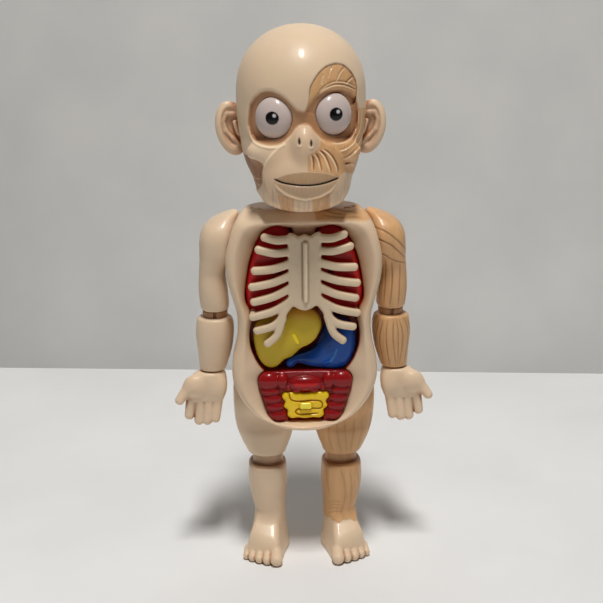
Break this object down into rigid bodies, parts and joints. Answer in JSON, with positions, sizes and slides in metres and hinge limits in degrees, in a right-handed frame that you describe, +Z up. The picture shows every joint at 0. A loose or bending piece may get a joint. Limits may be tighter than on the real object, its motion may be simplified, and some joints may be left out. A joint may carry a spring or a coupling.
{
  "type": "take-apart anatomy figure",
  "caption": "Standing toy anatomy figure with a big head, a dished chest holding removable organs behind a rib cage, and jointed arms and legs.",
  "frame": {"origin": "on the floor, at the middle of the overall box", "axes": "+Z up, the figure faces -Y, and its own left side is +X"},
  "size_m": [0.1304, 0.077, 0.27],
  "materials": {
    "skin": "glossy cream plastic",
    "muscle": "glossy tan plastic",
    "red": "glossy dark red plastic",
    "yellow": "glossy yellow plastic",
    "blue": "glossy blue plastic",
    "eye": "pearl white plastic with a printed pupil",
    "brain": "pink plastic",
    "steel": "plated screw"
  },
  "bodies": {
    "torso": {"torso_front": "skin", "torso_back": "skin", "screw_left_160": "steel", "screw_right_160": "steel", "screw_left_122": "steel", "screw_right_122": "steel", "screw_middle_140": "steel", "screw_middle_108": "steel", "neck_peg": "skin", "shoulder_peg_left": "skin", "shoulder_peg_right": "skin", "hip_axle": "skin"},
    "head": {"face_shell": "skin", "eye_left": "eye", "eye_right": "eye"},
    "skull": {"skull_back": "skin"},
    "brain_left": {"brain_left": "brain"},
    "brain_right": {"brain_right": "brain"},
    "ribs": {"rib_cage": "skin"},
    "heart": {"heart": "red"},
    "lung_left": {"lung_left": "red"},
    "lung_right": {"lung_right": "red"},
    "liver": {"liver": "yellow"},
    "stomach": {"stomach": "blue"},
    "kidney_left": {"kidney_left": "red"},
    "kidney_right": {"kidney_right": "red"},
    "large_intestine": {"large_intestine": "red"},
    "small_intestine": {"small_intestine": "yellow"},
    "upper_arm_left": {"upper_arm_left_front": "muscle", "upper_arm_left_back": "muscle"},
    "forearm_left": {"forearm_left_front": "muscle", "forearm_left_back": "muscle", "elbow_peg_left": "skin", "hand_left": "skin"},
    "thigh_left": {"thigh_left_front": "muscle", "thigh_left_back": "muscle"},
    "lower_leg_left": {"lower_leg_left": "muscle"},
    "upper_arm_right": {"upper_arm_right_front": "skin", "upper_arm_right_back": "skin"},
    "forearm_right": {"forearm_right_front": "skin", "forearm_right_back": "skin", "elbow_peg_right": "skin", "hand_right": "skin"},
    "thigh_right": {"thigh_right_front": "skin", "thigh_right_back": "skin"},
    "lower_leg_right": {"lower_leg_right": "skin"}
  },
  "joints": [
    {"name": "neck_turn", "type": "hinge", "parent": "torso", "child": "head", "pos_m": [0, 0.002, 0.19], "axis": [0, 0, 1], "range_deg": [-45, 45]},
    {"name": "skull_off", "type": "slide", "parent": "head", "child": "skull", "axis": [0, 1, 0], "range_m": [0, 0.06]},
    {"name": "brain_left_out", "type": "slide", "parent": "head", "child": "brain_left", "axis": [0, 1, 0], "range_m": [0, 0.03]},
    {"name": "brain_right_out", "type": "slide", "parent": "head", "child": "brain_right", "axis": [0, 1, 0], "range_m": [0, 0.03]},
    {"name": "shoulder_left_swing", "type": "hinge", "parent": "torso", "child": "upper_arm_left", "pos_m": [0.03125, 0.001, 0.168], "axis": [0.9945, 0.1045, 0], "range_deg": [-140, 40]},
    {"name": "elbow_left_twist", "type": "hinge", "parent": "upper_arm_left", "child": "forearm_left", "pos_m": [0.0443, 0.001, 0.129], "axis": [0, 0, 1], "range_deg": [-90, 90]},
    {"name": "hip_left_swing", "type": "hinge", "parent": "torso", "child": "thigh_left", "pos_m": [0.0052, 0.003, 0.082], "axis": [1, 0, 0], "range_deg": [-15, 20]},
    {"name": "knee_left_twist", "type": "hinge", "parent": "thigh_left", "child": "lower_leg_left", "pos_m": [0.019, 0.002, 0.056], "axis": [0, 0, 1], "range_deg": [-30, 30]},
    {"name": "shoulder_right_swing", "type": "hinge", "parent": "torso", "child": "upper_arm_right", "pos_m": [-0.03125, 0.001, 0.168], "axis": [0.9945, -0.1045, 0], "range_deg": [-140, 40]},
    {"name": "elbow_right_twist", "type": "hinge", "parent": "upper_arm_right", "child": "forearm_right", "pos_m": [-0.0443, 0.001, 0.129], "axis": [0, 0, 1], "range_deg": [-90, 90]},
    {"name": "hip_right_swing", "type": "hinge", "parent": "torso", "child": "thigh_right", "pos_m": [-0.0052, 0.003, 0.082], "axis": [1, 0, 0], "range_deg": [-15, 20]},
    {"name": "knee_right_twist", "type": "hinge", "parent": "thigh_right", "child": "lower_leg_right", "pos_m": [-0.019, 0.002, 0.056], "axis": [0, 0, 1], "range_deg": [-30, 30]},
    {"name": "ribs_out", "type": "slide", "parent": "torso", "child": "ribs", "axis": [0, -1, 0], "range_m": [0, 0.06]},
    {"name": "heart_out", "type": "slide", "parent": "torso", "child": "heart", "axis": [0, -1, 0], "range_m": [0, 0.045]},
    {"name": "lung_left_out", "type": "slide", "parent": "torso", "child": "lung_left", "axis": [0, -1, 0], "range_m": [0, 0.03]},
    {"name": "lung_right_out", "type": "slide", "parent": "torso", "child": "lung_right", "axis": [0, -1, 0], "range_m": [0, 0.03]},
    {"name": "liver_out", "type": "slide", "parent": "torso", "child": "liver", "axis": [0, -1, 0], "range_m": [0, 0.03]},
    {"name": "stomach_out", "type": "slide", "parent": "torso", "child": "stomach", "axis": [0, -1, 0], "range_m": [0, 0.03]},
    {"name": "kidney_left_out", "type": "slide", "parent": "torso", "child": "kidney_left", "axis": [0, -1, 0], "range_m": [0, 0.015]},
    {"name": "kidney_right_out", "type": "slide", "parent": "torso", "child": "kidney_right", "axis": [0, -1, 0], "range_m": [0, 0.015]},
    {"name": "large_intestine_out", "type": "slide", "parent": "torso", "child": "large_intestine", "axis": [0, -1, 0], "range_m": [0, 0.04]},
    {"name": "small_intestine_out", "type": "slide", "parent": "torso", "child": "small_intestine", "axis": [0, -1, 0], "range_m": [0, 0.04]}
  ],
  "couplings": [
    {"joint": "brain_left_out", "follows": "skull_off", "ratio": 0.5},
    {"joint": "brain_right_out", "follows": "skull_off", "ratio": 0.5},
    {"joint": "heart_out", "follows": "ribs_out", "ratio": 0.75},
    {"joint": "lung_left_out", "follows": "ribs_out", "ratio": 0.5},
    {"joint": "lung_right_out", "follows": "ribs_out", "ratio": 0.5},
    {"joint": "liver_out", "follows": "ribs_out", "ratio": 0.5},
    {"joint": "stomach_out", "follows": "ribs_out", "ratio": 0.5},
    {"joint": "kidney_left_out", "follows": "ribs_out", "ratio": 0.25},
    {"joint": "kidney_right_out", "follows": "ribs_out", "ratio": 0.25}
  ]
}
